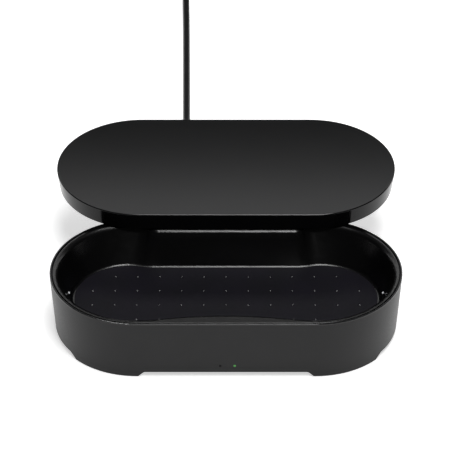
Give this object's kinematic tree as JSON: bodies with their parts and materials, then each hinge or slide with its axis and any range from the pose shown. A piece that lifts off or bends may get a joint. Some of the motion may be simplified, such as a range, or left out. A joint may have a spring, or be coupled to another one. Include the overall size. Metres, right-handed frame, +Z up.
{
  "type": "uv sanitizer box for phones",
  "caption": "Stadium-shaped UV-C sanitizer box for a phone, with a level lid that swivels open on a rear pin and charges a phone on top.",
  "frame": {"origin": "on the table under the middle of the base, in the plane of its feet", "axes": "+X along the box's length to the right seen from the front, +Y to the rear, +Z up"},
  "size_m": [0.2458, 0.5793, 0.0616],
  "materials": {
    "shell_black_abs": "moulded ABS, fine satin texture",
    "lid_satin_black": "moulded ABS, smooth satin soft-touch",
    "tray_gloss_black": "moulded polycarbonate blend, glossy inside",
    "mat_black_silicone": "moulded silicone, satin",
    "foot_rubber": "matt rubber",
    "plated_steel": "zinc-plated steel",
    "ballast_steel": "cut steel plate",
    "quartz_window": "clear quartz",
    "led_package": "ceramic package",
    "circuit_board": "solder-masked glass epoxy",
    "component_black": "moulded epoxy",
    "light_pipe_dark": "smoked clear acrylic, unlit",
    "light_pipe_green": "clear acrylic, lit green",
    "magnet_nickel": "nickel-plated",
    "bushing_bronze": "sintered bronze",
    "washer_acetal": "black acetal",
    "copper_winding": "enamelled copper wire",
    "ferrite": "sintered ferrite",
    "wire_black": "PVC insulation",
    "contact_nickel": "nickel-plated brass",
    "cord_black": "satin PVC",
    "tongue_white": "moulded nylon"
  },
  "bodies": {
    "base": {"outer_shell": "shell_black_abs", "inner_tray": "tray_gloss_black", "tray_mat": "mat_black_silicone", "base_plate": "shell_black_abs", "rubber_feet": "foot_rubber", "case_screws": "plated_steel", "uv_windows": "quartz_window", "uv_leds": "led_package", "uv_boards": "circuit_board", "wait_light_pipe": "light_pipe_dark", "ready_light_pipe": "light_pipe_green", "status_board": "circuit_board", "main_board": "circuit_board", "board_parts": "component_black", "board_screws": "plated_steel", "power_socket": "component_black", "ballast_plate": "ballast_steel", "base_magnets": "magnet_nickel", "lid_sensor": "component_black", "pivot_bushing": "bushing_bronze", "thrust_washer": "washer_acetal", "base_wires": "wire_black", "plug_barrel": "contact_nickel", "cord_plug": "cord_black", "cord_relief": "cord_black", "power_cord": "cord_black", "cord_coil": "cord_black", "cord_tail": "cord_black", "usb_relief": "cord_black", "usb_body": "cord_black", "usb_shell": "contact_nickel", "usb_tongue": "tongue_white"},
    "lid": {"lid_shell": "lid_satin_black", "lid_floor": "shell_black_abs", "lid_screws": "plated_steel", "charging_coil": "copper_winding", "ferrite_sheet": "ferrite", "charger_board": "circuit_board", "charger_parts": "component_black", "lid_magnets": "magnet_nickel", "lid_wires": "wire_black", "pivot_pin": "plated_steel", "wave_washer": "plated_steel", "pin_clip": "plated_steel"}
  },
  "joints": [
    {"name": "lid_swivel", "type": "hinge", "parent": "base", "child": "lid", "pos_m": [0, 0.054, 0.0484], "axis": [0, 0, 1], "range_deg": [0, 180]}
  ]
}
